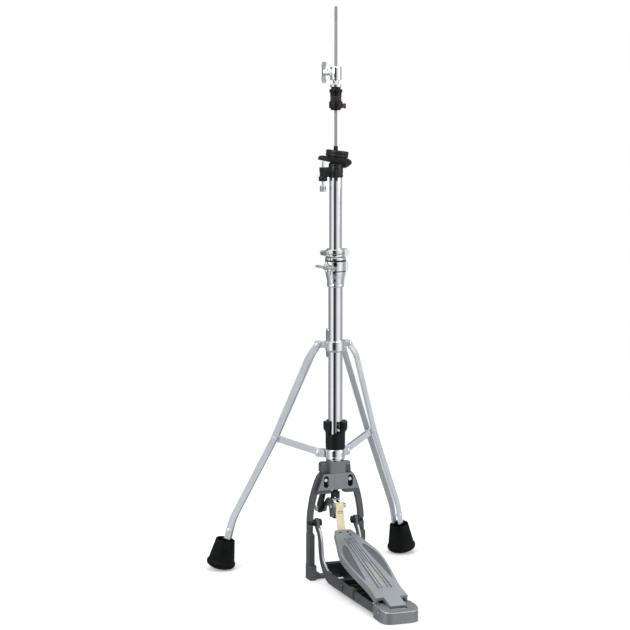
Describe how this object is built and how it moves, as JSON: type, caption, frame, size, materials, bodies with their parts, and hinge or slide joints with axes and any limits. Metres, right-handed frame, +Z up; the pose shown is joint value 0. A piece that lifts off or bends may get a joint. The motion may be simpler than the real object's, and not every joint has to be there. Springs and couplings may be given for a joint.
{
  "type": "hi-hat stand",
  "caption": "Two-legged hi-hat cymbal stand with a foot pedal, strap and lever linkage, telescoping tube column, tilting cymbal seat and a drop clutch on the pull rod",
  "frame": {"origin": "on the floor under the tube axis, on the underside of the base plate between the two columns", "axes": "+Z up along the tube column, -Y towards the heel of the pedal, +X to the player's right"},
  "size_m": [0.4624, 0.5253, 1.1502],
  "materials": {
    "chrome_plate": "mirror-bright chrome plating",
    "grey_paint": "mid-grey metallic paint, fine texture",
    "dark_paint": "charcoal metallic paint, fine texture",
    "bright_steel": "bright turned steel",
    "black_metal": "black painted metal",
    "black_plastic": "black moulded nylon",
    "rod_steel": "ground steel rod",
    "strap_web": "cream woven strap",
    "board_paint": "silver-grey satin paint",
    "heel_paint": "grey satin paint",
    "plated_steel": "satin nickel-grey plating",
    "foot_rubber": "matt black rubber",
    "seat_rubber": "black dense washer",
    "felt": "dark brown-grey pressed felt",
    "red_plastic": "dark red moulded plastic"
  },
  "bodies": {
    "frame": {"lower_tube": "chrome_plate", "tube_socket": "chrome_plate", "frame_hub": "grey_paint", "frame_yoke": "dark_paint", "left_plate_bolt": "bright_steel", "right_plate_bolt": "bright_steel", "base_plate": "dark_paint", "lever_hanger": "black_metal", "lever_pivot_pin": "bright_steel"},
    "dial": {"tension_dial": "black_plastic"},
    "follower": {"spring_follower": "bright_steel"},
    "pull_rod": {"pull_rod_upper": "rod_steel", "pull_rod_lower": "rod_steel", "rod_clevis": "black_metal", "return_spring": "rod_steel"},
    "lever": {"lever_arm": "bright_steel", "strap_bolt": "bright_steel"},
    "strap_link": {"strap": "strap_web"},
    "board": {"footboard": "board_paint", "toe_clamp": "bright_steel"},
    "pedal_base": {"heel_plate": "heel_paint", "left_rail": "dark_paint", "right_rail": "dark_paint", "base_pan": "black_metal", "footboard_hinge_pin": "bright_steel", "left_fold_bolt": "black_metal", "right_fold_bolt": "black_metal"},
    "leg_swivel": {"stay_collar": "chrome_plate"},
    "upper_collar": {"leg_collar": "chrome_plate", "left_leg_pin": "plated_steel", "right_leg_pin": "plated_steel"},
    "collar_bolt": {"leg_collar_wing_bolt": "chrome_plate"},
    "left_leg": {"left_leg_front_strip": "plated_steel", "left_leg_rear_strip": "plated_steel", "left_foot": "foot_rubber", "left_leg_rivet": "plated_steel"},
    "right_leg": {"right_leg_front_strip": "plated_steel", "right_leg_rear_strip": "plated_steel", "right_foot": "foot_rubber", "right_leg_rivet": "plated_steel"},
    "left_brace": {"left_stay": "plated_steel", "left_stay_pin": "plated_steel"},
    "right_brace": {"right_stay": "plated_steel", "right_stay_pin": "plated_steel"},
    "upper_column": {"upper_tube": "chrome_plate", "memory_lock": "chrome_plate", "seat_base": "black_plastic", "rod_sleeve": "black_plastic"},
    "lock_screw": {"memory_lock_screw": "chrome_plate"},
    "height_bolt": {"height_wing_bolt": "chrome_plate"},
    "seat": {"seat_tilter": "black_plastic", "seat_felt": "seat_rubber"},
    "tilt_adjuster": {"tilt_screw": "bright_steel"},
    "clutch": {"clutch_body": "chrome_plate", "clutch_lock_nut": "chrome_plate", "clutch_upper_cap": "black_plastic", "clutch_felt": "felt", "clutch_release_nut": "black_plastic"},
    "clutch_bolt": {"clutch_wing_bolt": "chrome_plate"},
    "clutch_lever": {"release_lever": "red_plastic"}
  },
  "joints": [
    {"name": "footboard_press", "type": "hinge", "parent": "pedal_base", "child": "board", "pos_m": [0, -0.332, 0.019], "axis": [-1, 0, 0], "range_deg": [0, 7.5], "stiffness_Nm_per_rad": 10, "springref_deg": -22.92},
    {"name": "lever_swing", "type": "hinge", "parent": "frame", "child": "lever", "pos_m": [0, 0.038, 0.135], "axis": [1, 0, 0], "range_deg": [0, 36.7]},
    {"name": "pull_rod_slide", "type": "slide", "parent": "frame", "child": "pull_rod", "axis": [0, 0, -1], "range_m": [0, 0.0278], "deforming": ["return_spring"]},
    {"name": "strap_swing", "type": "hinge", "parent": "lever", "child": "strap_link", "pos_m": [0, -0.02, 0.151], "axis": [-1, 0, 0], "range_deg": [0, 28.7]},
    {"name": "pedal_fold", "type": "hinge", "parent": "frame", "child": "pedal_base", "pos_m": [0, -0.005, 0.116], "axis": [-1, 0, 0], "range_deg": [0, 60], "deforming": ["strap"]},
    {"name": "dial_turn", "type": "hinge", "parent": "frame", "child": "dial", "pos_m": [0, 0, 0.29], "axis": [0, 0, 1], "range_deg": [0, 45]},
    {"name": "follower_slide", "type": "slide", "parent": "frame", "child": "follower", "axis": [0, 0, -1], "range_m": [0, 0.0031]},
    {"name": "leg_swivel_turn", "type": "hinge", "parent": "frame", "child": "leg_swivel", "pos_m": [0, 0, 0.255], "axis": [0, 0, 1], "range_deg": [-30, 30]},
    {"name": "leg_collar_slide", "type": "slide", "parent": "leg_swivel", "child": "upper_collar", "axis": [0, 0, 1], "range_m": [0, 0.07]},
    {"name": "left_leg_fold", "type": "hinge", "parent": "upper_collar", "child": "left_leg", "pos_m": [-0.02995, 0.01997, 0.477], "axis": [-0.5548, -0.832, 0], "range_deg": [0, 11.6]},
    {"name": "right_leg_fold", "type": "hinge", "parent": "upper_collar", "child": "right_leg", "pos_m": [0.02995, 0.01997, 0.477], "axis": [-0.5548, 0.832, 0], "range_deg": [0, 11.6]},
    {"name": "left_brace_fold", "type": "hinge", "parent": "leg_swivel", "child": "left_brace", "pos_m": [-0.02829, 0.01886, 0.256], "axis": [0.5548, 0.832, 0], "range_deg": [0, 42.5]},
    {"name": "right_brace_fold", "type": "hinge", "parent": "leg_swivel", "child": "right_brace", "pos_m": [0.02829, 0.01886, 0.256], "axis": [0.5548, -0.832, 0], "range_deg": [0, 42.5]},
    {"name": "leg_collar_bolt_turn", "type": "hinge", "parent": "upper_collar", "child": "collar_bolt", "pos_m": [0, 0.04, 0.475], "axis": [0, 1, 0], "range_deg": [-90, 90]},
    {"name": "height_adjust", "type": "slide", "parent": "frame", "child": "upper_column", "axis": [0, 0, 1], "range_m": [0, 0.07]},
    {"name": "height_bolt_turn", "type": "hinge", "parent": "frame", "child": "height_bolt", "pos_m": [-0.02298, -0.01928, 0.6375], "axis": [-0.766, -0.6428, 0], "range_deg": [-45, 45]},
    {"name": "lock_screw_turn", "type": "hinge", "parent": "upper_column", "child": "lock_screw", "pos_m": [-0.02347, -0.00629, 0.6635], "axis": [0.2588, -0.9659, 0], "range_deg": [-180, 180]},
    {"name": "seat_tilt", "type": "hinge", "parent": "upper_column", "child": "seat", "pos_m": [0, 0, 0.838], "axis": [0, -1, 0], "range_deg": [-2.5, 7.5]},
    {"name": "tilt_screw_travel", "type": "slide", "parent": "upper_column", "child": "tilt_adjuster", "axis": [0, 0, -1], "range_m": [-0.0012, 0.0036]},
    {"name": "clutch_slide", "type": "slide", "parent": "pull_rod", "child": "clutch", "axis": [0, 0, 1], "range_m": [-0.045, 0.1]},
    {"name": "clutch_bolt_turn", "type": "hinge", "parent": "clutch", "child": "clutch_bolt", "pos_m": [-0.02, 0, 1.021], "axis": [-1, 0, 0], "range_deg": [-90, 90]},
    {"name": "release_lever_press", "type": "slide", "parent": "clutch", "child": "clutch_lever", "axis": [0, 0, -1], "range_m": [0, 0.0015], "stiffness_N_per_m": 400, "springref_m": -0.002}
  ],
  "couplings": [
    {"joint": "lever_swing", "follows": "footboard_press", "ratio": 4.88},
    {"joint": "pull_rod_slide", "follows": "footboard_press", "m_per_rad": 0.21085},
    {"joint": "strap_swing", "follows": "footboard_press", "ratio": 3.8133},
    {"joint": "follower_slide", "follows": "dial_turn", "m_per_rad": 0.00382},
    {"joint": "left_leg_fold", "follows": "leg_collar_slide", "rad_per_m": 2.8798},
    {"joint": "right_leg_fold", "follows": "leg_collar_slide", "rad_per_m": 2.8798},
    {"joint": "left_brace_fold", "follows": "leg_collar_slide", "rad_per_m": 10.572},
    {"joint": "right_brace_fold", "follows": "leg_collar_slide", "rad_per_m": 10.572},
    {"joint": "tilt_screw_travel", "follows": "seat_tilt", "m_per_rad": 0.027}
  ]
}
